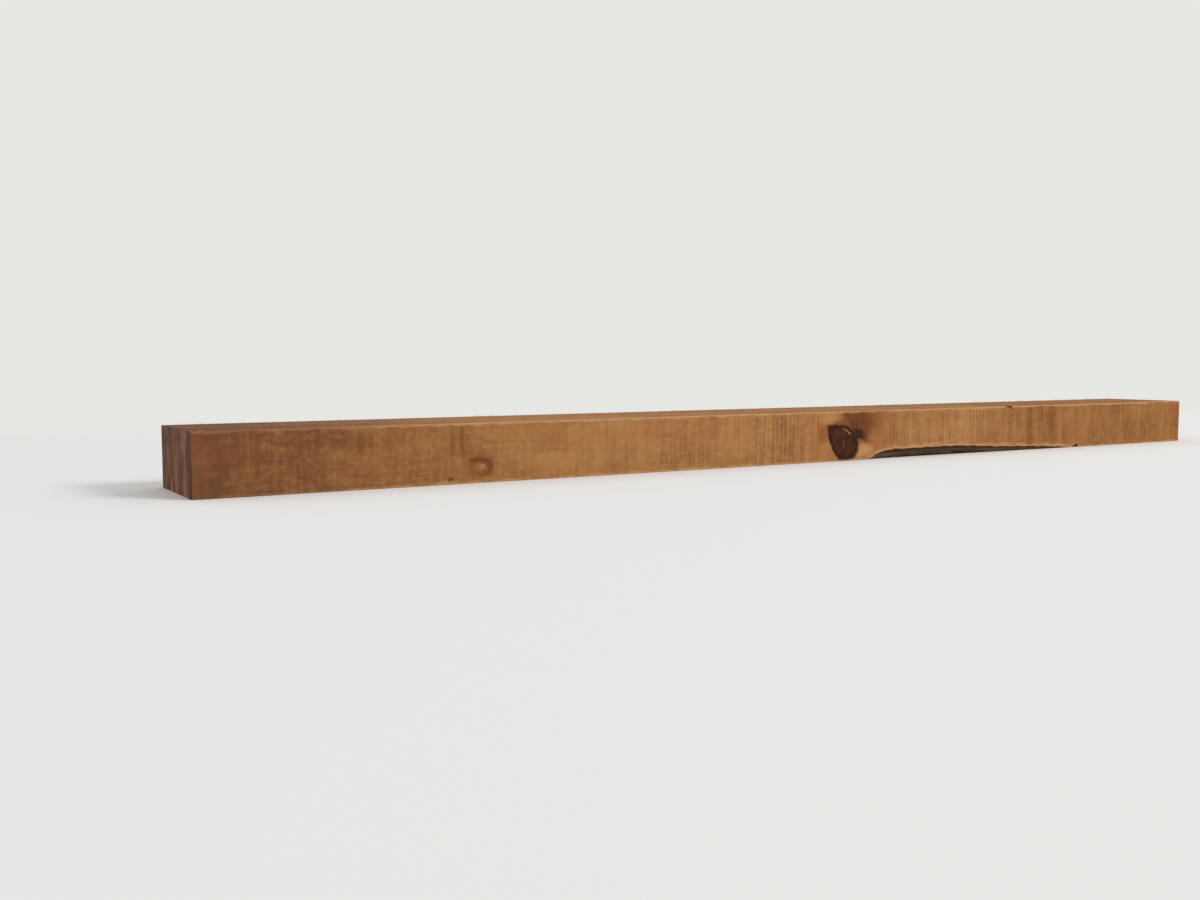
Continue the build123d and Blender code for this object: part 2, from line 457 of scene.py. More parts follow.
def skin_mesh():
    """The whole skin as one closed mesh, with the values that its relief and finish are made from."""
    columns, marks = mark_columns()
    log_height = wane_height(columns)
    y, z = sections(log_height)
    inner_y = np.clip(y, FRONT + ARRIS_RADIUS, BACK - ARRIS_RADIUS)
    inner_z = np.clip(z, ARRIS_RADIUS, THICKNESS - ARRIS_RADIUS)
    for end in (0, -1):
        y[end] = inner_y[end] + (y[end] - inner_y[end]) * (1 - END_CHAMFER / ARRIS_RADIUS)
        z[end] = inner_z[end] + (z[end] - inner_z[end]) * (1 - END_CHAMFER / ARRIS_RADIUS)
    y, z, torn_top = tear(columns, y, z, TOP_SLIVER, THICKNESS, -1)
    y, z, torn_low = tear(columns, y, z, LOWER_SLIVER, 0, 1)
    to_end = np.minimum(columns, LENGTH - columns)[:, None]
    lean = SAW_LEAN * (z - THICKNESS / 2) * smooth(to_end / LEAN_FADES_OVER)
    x = LOW.x + columns[:, None] + lean

    count, rows = y.shape
    spans = row_spans()
    edge = np.minimum(np.minimum(y - FRONT, BACK - y), np.minimum(z, THICKNESS - z))
    second = np.sort([y - FRONT, BACK - y, z, THICKNESS - z], axis=0)[1]
    to_arris = np.maximum(edge, second)
    first, last = spans["front"]
    above_wane = z[:, first:last] - log_height[:, None]
    above_wane *= np.where(log_height > 0, WANE_PALE_EDGE_SPREAD, 1.0)[:, None]
    to_arris[:, first:last] = np.minimum(to_arris[:, first:last], above_wane)
    wane_share = np.zeros((count, rows))
    first, last = spans["wane"]
    wane_share[:, first:last] = steps("wane")
    wane_share[:, last : last + 1] = 1
    on_log = np.zeros((count, rows))
    on_log[:, first : last + 1] = np.clip(log_height / RIDGES_WHOLE_ABOVE, 0, 1)[:, None]
    sawn = np.broadcast_to(smooth(to_end / MARKS_FADE_OVER), (count, rows)) * (1 - on_log)

    points = np.stack([x, y, z], -1).reshape(-1, 3)
    values = {"arris_distance": np.maximum(to_arris, 0), "wane_share": wane_share, "sawn": sawn,
              "saw_marks": np.broadcast_to(marks[:, None], (count, rows)),
              "log_surface": on_log, "torn": (torn_top | torn_low).astype(float),
              "end_grain": np.zeros((count, rows))}
    values = {name: array.reshape(-1) for name, array in values.items()}

    index = np.arange(count * rows).reshape(count, rows)
    across = np.roll(index, -1, axis=1)
    quads = np.stack([index[:-1], index[1:], across[1:], across[:-1]], -1).reshape(-1, 4)
    finish = np.full((count - 1, rows), SAWN)
    none, whole = WANE_RUNS_OUT
    shown_share = ((log_height[1:] + log_height[:-1]) / 2 - none) / (whole - none)
    waney = steps("wane")[None, :] < shown_share[:, None]
    finish[:, spans["wane"][0] : spans["wane"][1]] = np.where(waney, LOG_SURFACE, SAWN)
    finish[[0, -1]] = END_GRAIN
    finish = finish.reshape(-1)

    uv, caps_base = side_map(columns)
    faces = quads.tolist()
    cap_width = (MAP_SIDE - 3 * MAP_GAP) / 2 * END_CUT_SHARE
    cap_height = MAP_SIDE - MAP_GAP - caps_base
    for number, (end, outward) in enumerate(((0, -1), (-1, 1))):
        rim = np.stack([y[end], z[end]], -1)
        net, cap_faces = end_cap(rim, outward)
        first_new = len(points)
        net_points = np.column_stack([np.full(len(net), x[end, 0]), net])
        sides = np.stack([net[:, 0] - FRONT, BACK - net[:, 0], net[:, 1], THICKNESS - net[:, 1]])
        rim_ids = index[end]
        whole = np.concatenate([rim_ids, np.arange(first_new, first_new + len(net))])
        points = np.vstack([points, net_points])
        for name in values:
            extra = {"arris_distance": sides.min(0), "end_grain": np.ones(len(net)),
                     "saw_marks": np.full(len(net), marks[end])}.get(name, np.zeros(len(net)))
            values[name] = np.concatenate([values[name], extra])
        values["end_grain"][rim_ids] = 1
        faces += [[int(whole[i]) for i in face] for face in cap_faces]
        finish = np.concatenate([finish, np.full(len(cap_faces), END_GRAIN)])
        corner_ids = np.array([i for face in cap_faces for i in face])
        flat = np.vstack([rim, net])[corner_ids]
        u = MAP_GAP + number * (cap_width + MAP_GAP) + (flat[:, 0] - FRONT) / (BACK - FRONT) * cap_width
        v = caps_base + flat[:, 1] / THICKNESS * cap_height
        uv = np.vstack([uv, np.stack([u, v], -1) / MAP_SIDE])

    mesh = bpy.data.meshes.new("sawn_baulk")
    mesh.from_pydata(points.tolist(), [], faces)
    for name, array in values.items():
        mesh.attributes.new(name, "FLOAT", "POINT").data.foreach_set("value", array.astype(np.float32))
    mesh.attributes.new("finish", "INT", "FACE").data.foreach_set("value", finish.astype(np.int32))
    mesh.uv_layers.new(name="OFBake").data.foreach_set("uv", uv.astype(np.float32).reshape(-1))
    return mesh


def new_tree(name, inputs):
    """An empty Geometry Nodes tree with inputs named by kind, and where its geometry comes in."""
    tree = bpy.data.node_groups.new(name, "GeometryNodeTree")
    tree.interface.new_socket("Geometry", in_out="INPUT", socket_type="NodeSocketGeometry")
    for kind, labels in inputs.items():
        for label in labels:
            tree.interface.new_socket(label, in_out="INPUT", socket_type=kind)
    tree.interface.new_socket("Geometry", in_out="OUTPUT", socket_type="NodeSocketGeometry")
    return tree, tree.nodes.new("NodeGroupInput")


def grown(name, mesh, tree, settings):
    """Runs a tree on a mesh with its named inputs set, and returns the result as a plain object."""
    base = bpy.data.objects.new(name, mesh)
    bpy.context.scene.collection.objects.link(base)
    modifier = base.modifiers.new("grow", "NODES")
    modifier.node_group = tree
    identifiers = {item.name: item.identifier for item in tree.interface.items_tree
                   if item.in_out == "INPUT"}
    for label, value in settings.items():
        modifier[identifiers[label]] = value
    evaluated = base.evaluated_get(bpy.context.evaluated_depsgraph_get())
    result = bpy.data.meshes.new_from_object(evaluated)
    base.modifiers.clear()
    base.data = result
    return base


def sawn_relief(materials):
    """The saw's marks, the log's ridges and rough or torn wood, as small moves of the skin inward."""
    tree, given = new_tree("sawn_relief", {
        "NodeSocketFloat": ("Saw depth", "Log ridges", "End roughness", "Torn roughness"),
        "NodeSocketMaterial": ("Sawn finish", "End finish", "Log finish")})
    value = {name: add(tree, "GeometryNodeInputNamedAttribute", {"Name": name}, data_type="FLOAT")
             for name in ("saw_marks", "sawn", "log_surface", "end_grain", "torn")}
    place = add(tree, "GeometryNodeInputPosition")

    # A groove for each mark, deeper in some places and at some marks than at others.
    turn = add(tree, "ShaderNodeMath", {0: value["saw_marks"], 1: 2 * math.pi}, operation="MULTIPLY")
    wave = add(tree, "ShaderNodeMath", {0: turn}, operation="COSINE")
    groove = add(tree, "ShaderNodeMapRange", {0: wave, 1: -0.6, 2: 1.0}, interpolation_type="SMOOTHSTEP")
    spread = add(tree, "ShaderNodeVectorMath", {0: place, 1: (14.0, 16.0, 16.0)}, operation="MULTIPLY")
    patches = add(tree, "ShaderNodeTexNoise", {"Vector": spread, "Scale": 1.0, "Detail": 2.0})
    patchy = add(tree, "ShaderNodeMapRange", {0: patches, 1: 0.35, 2: 0.62, 3: 0.15, 4: 1.0})
    each = add(tree, "ShaderNodeTexNoise", {"W": value["saw_marks"], "Scale": 0.9, "Detail": 1.0},
               noise_dimensions="1D")
    each_mark = add(tree, "ShaderNodeMapRange", {0: each, 1: 0.3, 2: 0.7, 3: 0.35, 4: 1.3})
    axes = add(tree, "ShaderNodeSeparateXYZ", {0: place})
    further_on = add(tree, "ShaderNodeMapRange", {
        0: (axes, "X"), 1: LOW.x + 0.6, 2: LOW.x + 1.2, 3: 0.45, 4: 1.0})
    strength = patchy
    for share in (each_mark, further_on, value["sawn"]):
        strength = add(tree, "ShaderNodeMath", {0: strength, 1: share}, operation="MULTIPLY")
    relief = add(tree, "ShaderNodeMath", {0: groove, 1: strength}, operation="MULTIPLY")
    inward = add(tree, "ShaderNodeMath", {0: relief, 1: (given, "Saw depth")}, operation="MULTIPLY")

    # Ridges along the log, and a plain roughness for the ends and for torn wood.
    along_log = add(tree, "ShaderNodeVectorMath", {0: place, 1: (16.0, 190.0, 190.0)}, operation="MULTIPLY")
    ridges = add(tree, "ShaderNodeTexNoise", {"Vector": along_log, "Scale": 1.0, "Detail": 3.0})
    lumps = add(tree, "ShaderNodeTexNoise", {"Vector": place, "Scale": 130.0, "Detail": 2.0})
    splinters = add(tree, "ShaderNodeTexNoise", {"Vector": along_log, "Scale": 2.6, "Detail": 2.0})
    for rough, where, depth in (
            (ridges, "log_surface", "Log ridges"), (lumps, "end_grain", "End roughness"),
            (splinters, "torn", "Torn roughness")):
        there = add(tree, "ShaderNodeMath", {0: rough, 1: value[where]}, operation="MULTIPLY")
        move = add(tree, "ShaderNodeMath", {0: there, 1: (given, depth)}, operation="MULTIPLY")
        inward = add(tree, "ShaderNodeMath", {0: inward, 1: move}, operation="ADD")
    outward = add(tree, "ShaderNodeMath", {0: inward, 1: -1.0}, operation="MULTIPLY")
    normal = add(tree, "GeometryNodeInputNormal")
    offset = add(tree, "ShaderNodeVectorMath", {0: normal, "Scale": outward}, operation="SCALE")
    moved = add(tree, "GeometryNodeSetPosition", {"Geometry": (given, "Geometry"), "Offset": offset})
    kept = add(tree, "GeometryNodeStoreNamedAttribute", {
        "Geometry": moved, "Name": "saw_relief", "Value": relief})
    shape = add(tree, "GeometryNodeRealizeInstances", {"Geometry": kept})
    finish = add(tree, "GeometryNodeInputNamedAttribute", {"Name": "finish"}, data_type="INT")
    for number, label in ((SAWN, "Sawn finish"), (END_GRAIN, "End finish"), (LOG_SURFACE, "Log finish")):
        chosen = add(tree, "FunctionNodeCompare", {2: finish, 3: number},
                     data_type="INT", operation="EQUAL")
        shape = add(tree, "GeometryNodeSetMaterial", {
            "Geometry": shape, "Selection": chosen, "Material": (given, label)})
    add(tree, "NodeGroupOutput", {"Geometry": shape})
    depths = {"Saw depth": SAW_DEPTH, "Log ridges": LOG_RIDGES, "End roughness": END_ROUGHNESS,
              "Torn roughness": TORN_ROUGHNESS}
    return tree, {**depths, **materials}


def blank_material(name, roughness):
    """A material with its shader node, and the object's own places to lay its patterns out on."""
    material = bpy.data.materials.new(name)
    material.use_nodes = True
    tree = material.node_tree
    tree.nodes.clear()
    shader = add(tree, "ShaderNodeBsdfPrincipled", {
        "Roughness": roughness, "IOR": 1.5, "Specular IOR Level": 0.15})
    add(tree, "ShaderNodeOutputMaterial", {"Surface": shader})
    return material, tree, shader, (add(tree, "ShaderNodeTexCoord"), "Object")


def coat(tree, shader, colour, height):
    """Gives a finish its colour, and relief too fine for the mesh from a height in metres."""
    bump = add(tree, "ShaderNodeBump", {"Height": height, "Distance": 1.0, "Strength": 1.0})
    tree.links.new(colour[0].outputs[colour[1]], shader.inputs["Base Color"])
    tree.links.new(bump.outputs[0], shader.inputs["Normal"])


def patterns(tree, place, wanted):
    """Noise by name, with patches of this size along, out and up in metres, and this much detail."""
    made = {}
    for name, size, detail in wanted:
        finer = tuple(1 / s for s in size)
        scaled = add(tree, "ShaderNodeVectorMath", {0: place, 1: finer}, operation="MULTIPLY")
        made[name] = add(tree, "ShaderNodeTexNoise", {"Vector": scaled, "Scale": 1.0, "Detail": detail})
    return made


def summed(tree, start, parts):
    """A value with each pattern added at its weight, counted from the pattern's middle of a half."""
    total = start
    for pattern, weight in parts:
        centred = add(tree, "ShaderNodeMath", {0: pattern, 1: 0.5}, operation="SUBTRACT")
        total = add(tree, "ShaderNodeMath", {0: centred, 1: weight, 2: total}, operation="MULTIPLY_ADD")
    return total


def layered(tree, colour, layers):
    """A colour with others laid over it in turn, each where its share says."""
    for share, over in layers:
        mixed = add(tree, "ShaderNodeMix", {0: share, 6: colour, 7: over}, data_type="RGBA")
        colour = (mixed, 2)
    return colour


def patches_over(tree, place, colour, patches, edge):
    """A colour with oval patches of the shown face laid over it, each at its turn and strength."""
    layers = []
    for middle, half, turn, tint, strength in patches:
        centred = add(tree, "ShaderNodeMapping", {
            "Vector": place, "Location": (middle[0] + LOW.x, FRONT, middle[1]),
            "Rotation": (0.0, -math.radians(turn), 0.0), "Scale": (half[0], PATCH_DEPTH, half[1])},
            vector_type="TEXTURE")
        away = (add(tree, "ShaderNodeVectorMath", {0: centred}, operation="LENGTH"), "Value")
        share = add(tree, "ShaderNodeMapRange", {0: away, 1: edge[0], 2: edge[1], 3: 0.0, 4: strength},
                    interpolation_type="SMOOTHSTEP")
        layers.append((share, linear(tint)))
    return layered(tree, colour, layers)


def jittered(tree, place, noise, reach):
    """A place moved aside by noise, by up to half of this reach each way."""
    off = add(tree, "ShaderNodeVectorMath", {0: (noise, "Color"), 1: (0.5, 0.5, 0.5)}, operation="SUBTRACT")
    shift = add(tree, "ShaderNodeVectorMath", {0: off, 1: reach}, operation="MULTIPLY")
    return add(tree, "ShaderNodeVectorMath", {0: place, 1: shift}, operation="ADD")


def ring_distance(tree, place, knot=None):
    """Distance from the log's heart, bent as its rings are: it sways, ripples and swells at the knot."""
    noise = patterns(tree, place, (("sway", (0.75, 1e3, 1e3), 1.0), ("ripple", (0.16, 0.035, 0.035), 2.0)))
    swayed = jittered(tree, place, noise["sway"], (0.0, 0.020, 0.026))
    from_heart = add(tree, "ShaderNodeVectorMath", {0: swayed, 1: HEART}, operation="SUBTRACT")
    section = add(tree, "ShaderNodeVectorMath", {0: from_heart, 1: (0.0, 1.0, 1.0)}, operation="MULTIPLY")
    radius = (add(tree, "ShaderNodeVectorMath", {0: section}, operation="LENGTH"), "Value")
    distance = summed(tree, radius, [(noise["ripple"], 0.008)])
    if knot is not None:
        near = add(tree, "ShaderNodeMapRange", {0: knot, 1: 0.8, 2: 3.2, 3: -0.016, 4: 0.0},
                   interpolation_type="SMOOTHERSTEP")
        distance = add(tree, "ShaderNodeMath", {0: distance, 1: near}, operation="ADD")
    return distance


def late_wood(tree, distance):
    """The dark band that ends each year's ring, slow to start and sharp to end, in uneven years."""
    rings = add(tree, "ShaderNodeMath", {0: distance, 1: 1 / RING_WIDTH}, operation="MULTIPLY")
    years = add(tree, "ShaderNodeTexNoise", {"W": rings, "Scale": 0.35, "Detail": 2.0},
                noise_dimensions="1D")
    uneven = summed(tree, rings, [(years, 3.0)])
    year = add(tree, "ShaderNodeMath", {0: uneven}, operation="FRACT")
    rise = add(tree, "ShaderNodeMapRange", {0: year, 1: 0.35, 2: 0.88}, interpolation_type="SMOOTHSTEP")
    fall = add(tree, "ShaderNodeMapRange", {0: year, 1: 0.90, 2: 1.0, 3: 1.0, 4: 0.0})
    return add(tree, "ShaderNodeMath", {0: rise, 1: fall}, operation="MULTIPLY")


def main_knot(tree, place):
    """How far out from the main knot's middle, 1 on its outline, narrowing in toward the heart."""
    depth = add(tree, "ShaderNodeSeparateXYZ", {0: place})
    share = add(tree, "ShaderNodeMapRange", {0: (depth, "Y"), 1: HEART[1], 2: FRONT, 3: 0.0, 4: 1.0})
    share = add(tree, "ShaderNodeMath", {0: share, 1: 0.02}, operation="MAXIMUM")
    spread = add(tree, "ShaderNodeMath", {0: 1.0, 1: share}, operation="DIVIDE")
    branch = (KNOT_ALONG + LOW.x, 0.0, HEART[2])
    from_branch = add(tree, "ShaderNodeVectorMath", {0: place, 1: branch}, operation="SUBTRACT")
    flat = add(tree, "ShaderNodeVectorMath", {0: from_branch, 1: (1.0, 0.0, 1.0)}, operation="MULTIPLY")
    onto_face = add(tree, "ShaderNodeVectorMath", {0: flat, "Scale": spread}, operation="SCALE")
    turned = add(tree, "ShaderNodeMapping", {
        "Vector": onto_face, "Location": (0.0, 0.0, KNOT_UP - HEART[2]), "Rotation": (0.0, -KNOT_TURN, 0.0),
        "Scale": (KNOT_HALF_LENGTH, 1.0, KNOT_HALF_WIDTH)}, vector_type="TEXTURE")
    axes = add(tree, "ShaderNodeSeparateXYZ", {0: turned})
    fuller = add(tree, "ShaderNodeMath", {0: (axes, "X"), 1: KNOT_EGG, 2: 1.0}, operation="MULTIPLY_ADD")
    width = add(tree, "ShaderNodeMath", {0: (axes, "Z"), 1: fuller}, operation="MULTIPLY")
    egg = add(tree, "ShaderNodeCombineXYZ", {"X": (axes, "X"), "Z": width})
    out = (add(tree, "ShaderNodeVectorMath", {0: egg}, operation="LENGTH"), "Value")
    above = add(tree, "ShaderNodeSeparateXYZ", {0: onto_face})
    rise = add(tree, "ShaderNodeMapRange", {0: (above, "Z"), 1: KNOT_UP - HEART[2], 2: KNOT_TOP - HEART[2]},
               clamp=False)
    flat_topped = add(tree, "ShaderNodeMath", {0: out, 1: rise, 2: 0.25}, operation="SMOOTH_MAX")
    noise = patterns(tree, place, (
        ("lobes", (0.014, 0.014, 0.014), 2.0), ("rags", (0.0035, 0.0035, 0.0035), 2.0)))
    return summed(tree, flat_topped, [(noise["lobes"], 0.20), (noise["rags"], 0.07)])


def treated_sawn_pine():
    """Pine cut with a coarse bandsaw, then pressure treated brown.

    Each stroke of the blade leaves a groove and lifts the fibres beside it, so it is matt and a little
    woolly. The grooves are painted darker, as the shade that falls in them. The wood is darker toward
    the shown end, and the treatment lies darker wherever the wood drank more.
    """
    material, tree, shader, place = blank_material("treated_sawn_pine", 0.82)
    marks = {name: (add(tree, "ShaderNodeAttribute", attribute_name=name), "Fac")
             for name in ("saw_relief", "saw_marks", "arris_distance", "torn")}
    knot = main_knot(tree, place)
    late = late_wood(tree, ring_distance(tree, place, knot))
    noise = patterns(tree, place, (
        ("broad", (0.28, 0.10, 0.10), 2.0), ("blotches", (0.055, 0.030, 0.030), 3.0),
        ("mottle", (0.011, 0.009, 0.009), 3.0), ("fibres", (0.055, 0.0012, 0.0012), 2.0),
        ("scratches", (0.0018, 0.12, 0.045), 2.0), ("wool", (0.006, 0.0016, 0.0016), 4.0),
        ("hairs", (0.014, 0.00045, 0.00045), 2.0), ("specks", (0.0022, 0.0009, 0.0009), 2.0),
        ("reddening", (0.19, 0.05, 0.05), 2.0), ("yellowing", (0.05, 0.021, 0.021), 2.0),
        ("jitter", (0.020, 0.009, 0.009), 3.0), ("pale_edge_breaks", (0.030, 0.006, 0.006), 3.0),
        ("branch_streaks", (0.0045, 0.020, 0.016), 3.0), ("branch_clouds", (0.016, 0.016, 0.016), 2.0)))

    axes = add(tree, "ShaderNodeSeparateXYZ", {0: place})
    shows, base_tone, far_part, pale_marks_along = [
        add(tree, "ShaderNodeMapRange", {
            0: (axes, "X"), 1: LOW.x + start, 2: LOW.x + end, 3: first, 4: last},
            interpolation_type="SMOOTHSTEP")
        for (start, end), (first, last) in (BANDS_SHOW, TONE_ALONG, FAR_PART, PALE_MARKS_ALONG)]

    # The saw's bands: each mark has its own tone, which changes up the face and across the baulk.
    up = add(tree, "ShaderNodeMath", {0: (axes, "Z"), 1: 1 / BAND_BREAK_UP}, operation="MULTIPLY")
    out = add(tree, "ShaderNodeMath", {0: (axes, "Y"), 1: 1 / BAND_BREAK_ACROSS}, operation="MULTIPLY")
    band_place = add(tree, "ShaderNodeCombineXYZ", {"X": marks["saw_marks"], "Y": out, "Z": up})
    bands = add(tree, "ShaderNodeTexNoise", {"Vector": band_place, "Scale": 0.85, "Detail": 1.0})
    saw_tone_and_groove_shade = summed(tree, 0.0, [(bands, 0.44), (noise["scratches"], 0.085)])
    # The grooves are painted darker by their depth, as the shade that falls in them.
    saw_tone_and_groove_shade = add(tree, "ShaderNodeMath", {0: marks["saw_relief"], 1: -0.185, 2: saw_tone_and_groove_shade},
                 operation="MULTIPLY_ADD")

    # A tone from dark to pale: darker toward the shown end, and blotchy where the wood took up more of the
    # brown.
    base_tone = add(tree, "ShaderNodeMath", {0: far_part, 1: -0.095, 2: base_tone}, operation="MULTIPLY_ADD")
    tone = summed(tree, base_tone, [(noise["broad"], 0.32), (noise["blotches"], 0.30), (noise["mottle"], 0.26),
                               (noise["fibres"], 0.08), (noise["wool"], 0.12), (noise["hairs"], 0.10)])
    tone = add(tree, "ShaderNodeMath", {0: saw_tone_and_groove_shade, 1: shows, 2: tone}, operation="MULTIPLY_ADD")
    tone = add(tree, "ShaderNodeMath", {0: late, 1: -0.045, 2: tone}, operation="MULTIPLY_ADD")
    ramp = add(tree, "ShaderNodeValToRGB", {0: tone}, stops=(
        (0.0, "#482a18"), (0.33, "#73482a"), (0.66, "#a06f3f"), (1.0, "#b98957")))
    redder, yellower, banded, pinker, lifted, pores = [
        add(tree, "ShaderNodeMapRange", {0: pattern, 1: none, 2: whole, 3: 0.0, 4: most})
        for pattern, none, whole, most in (
            (noise["reddening"], 0.48, 0.75, 0.55), (noise["yellowing"], 0.58, 0.8, 0.5),
            (bands, 0.52, 0.72, 0.22), (noise["mottle"], 0.54, 0.74, 0.44),
            (noise["hairs"], 0.66, 0.78, 0.35), (noise["specks"], 0.30, 0.22, 0.5))]
    banded = add(tree, "ShaderNodeMath", {0: banded, 1: shows}, operation="MULTIPLY")
    pinker = add(tree, "ShaderNodeMath", {0: pinker, 1: pale_marks_along}, operation="MULTIPLY")
    warmer = add(tree, "ShaderNodeMath", {0: far_part, 1: 0.26}, operation="MULTIPLY")
    colour = layered(tree, (ramp, 0), (
        (redder, linear("#9a5b33")), (yellower, linear("#92733a")), (banded, linear("#9c7a3c")),
        (pinker, linear("#ab7853")), (warmer, linear("#985f26")), (lifted, linear("#c39a6c")),
        (pores, linear("#57331b"))))

    # Stains on the shown face, with their edges broken up by the grain.
    broken = jittered(tree, place, noise["jitter"], (0.030, 0.0, 0.018))
    colour = patches_over(tree, broken, colour, STAINS, (1.2, 0.4))

    # The dead knot: near black round its edge, where bark was caught, and dark brown inside.
    inside = add(tree, "ShaderNodeMapRange", {0: knot, 1: 1.07, 2: 0.94})
    branch_tone = summed(tree, 0.45, [(noise["branch_streaks"], 1.1), (noise["branch_clouds"], 0.9)])
    branch_ramp = add(tree, "ShaderNodeValToRGB", {0: branch_tone}, stops=(
        (0.1, "#230f05"), (0.45, "#3f1e0c"), (0.75, "#522b15"), (1.0, "#6e452b")))
    rim_out = add(tree, "ShaderNodeMapRange", {0: knot, 1: 1.14, 2: 0.98}, interpolation_type="SMOOTHSTEP")
    rim_in = add(tree, "ShaderNodeMapRange", {0: knot, 1: 0.64, 2: 0.98, 3: 0.0, 4: 0.72},
                 interpolation_type="SMOOTHSTEP")
    rim = add(tree, "ShaderNodeMath", {0: rim_out, 1: rim_in}, operation="MULTIPLY")
    colour = layered(tree, colour, ((inside, (branch_ramp, 0)), (rim, linear("#1f0e06"))))
    frayed = jittered(tree, place, noise["mottle"], (0.008, 0.0, 0.006))
    colour = patches_over(tree, frayed, colour, FINE_MARKS, (1.3, 0.35))

    # Broken arrises, pale where the fibres are lifted, with a painted highlight along them, and the torn
    # slivers darker.
    reach = add(tree, "ShaderNodeMapRange", {0: noise["pale_edge_breaks"], 1: 0.33, 2: 0.68, 3: 0.0018, 4: 0.0072})
    pale_edge_and_highlight = add(tree, "ShaderNodeMath", {0: marks["arris_distance"], 1: reach}, operation="DIVIDE")
    pale_edge_and_highlight = add(tree, "ShaderNodeMapRange", {0: pale_edge_and_highlight, 1: 1.15, 2: 0.15, 3: 0.0, 4: 0.70},
               interpolation_type="SMOOTHSTEP")
    pale_edge_and_highlight = add(tree, "ShaderNodeMath", {0: pale_edge_and_highlight, 1: pale_marks_along}, operation="MULTIPLY")
    torn = add(tree, "ShaderNodeMath", {0: marks["torn"], 1: 0.8}, operation="MULTIPLY")
    colour = layered(tree, colour, ((pale_edge_and_highlight, linear("#c2966a")), (torn, linear("#6c4020"))))
    height = summed(tree, 0.0, [(noise["fibres"], 0.00024), (noise["scratches"], 0.00022),
                                (noise["wool"], 0.00050), (noise["hairs"], 0.00016)])
    height = add(tree, "ShaderNodeMath", {0: rim, 1: -0.0010, 2: height}, operation="MULTIPLY_ADD")
    coat(tree, shader, colour, height)
    return material


def pine_end_grain():
    """The end cut across the log: the open cells drank most of the treatment, so it is the darkest.

    It shows the rings about the log's heart, faintly, the fine rays that cross them, and the saw's
    upright streaks. The cut stands rough, so it is the least shiny.
    """
    material, tree, shader, place = blank_material("treated_pine_end_grain", 0.9)
    distance = ring_distance(tree, place)
    late = late_wood(tree, distance)
    noise = patterns(tree, place, (
        ("streaks", (0.5, 0.0040, 0.08), 3.0), ("blotches", (0.5, 0.018, 0.050), 3.0),
        ("cells", (0.002, 0.0013, 0.0013), 2.0), ("clear", (0.5, 0.030, 0.030), 2.0),
        ("rough", (0.004, 0.004, 0.007), 3.0)))
    axes = add(tree, "ShaderNodeSeparateXYZ", {0: place})
    up = add(tree, "ShaderNodeMath", {0: (axes, "Z"), 1: HEART[2]}, operation="SUBTRACT")
    out = add(tree, "ShaderNodeMath", {0: (axes, "Y"), 1: HEART[1]}, operation="SUBTRACT")
    angle = add(tree, "ShaderNodeMath", {0: up, 1: out}, operation="ARCTAN2")
    across = add(tree, "ShaderNodeMath", {0: angle, 1: 45.0}, operation="MULTIPLY")
    outward = add(tree, "ShaderNodeMath", {0: distance, 1: 60.0}, operation="MULTIPLY")
    ray_place = add(tree, "ShaderNodeCombineXYZ", {"X": across, "Y": outward})
    rays = add(tree, "ShaderNodeTexNoise", {"Vector": ray_place, "Scale": 1.0, "Detail": 2.0})

    tone = summed(tree, 0.56, [(noise["streaks"], 1.1), (noise["blotches"], 1.3), (noise["cells"], 0.45),
                               (noise["rough"], 0.45), (rays, 0.22)])
    seen = add(tree, "ShaderNodeMapRange", {0: noise["clear"], 1: 0.40, 2: 0.62, 3: 0.02, 4: 0.15})
    ringed = add(tree, "ShaderNodeMath", {0: late, 1: seen}, operation="MULTIPLY")
    tone = add(tree, "ShaderNodeMath", {0: tone, 1: ringed}, operation="SUBTRACT")
    ramp = add(tree, "ShaderNodeValToRGB", {0: tone}, stops=(
        (0.0, "#3a231b"), (0.35, "#61402f"), (0.65, "#855b43"), (1.0, "#b3835b")))
    by_arris = add(tree, "ShaderNodeMapRange", {
        0: (axes, "Y"), 1: FRONT + 0.034, 2: FRONT + 0.008, 3: 0.0, 4: 0.7},
        interpolation_type="SMOOTHSTEP")
    colour = layered(tree, (ramp, 0), ((by_arris, linear("#3f291f")),))
    height = summed(tree, 0.0, [(noise["streaks"], 0.0008), (noise["cells"], 0.0006),
                                (noise["rough"], 0.0012), (rays, 0.0003)])
    coat(tree, shader, colour, height)
    return material


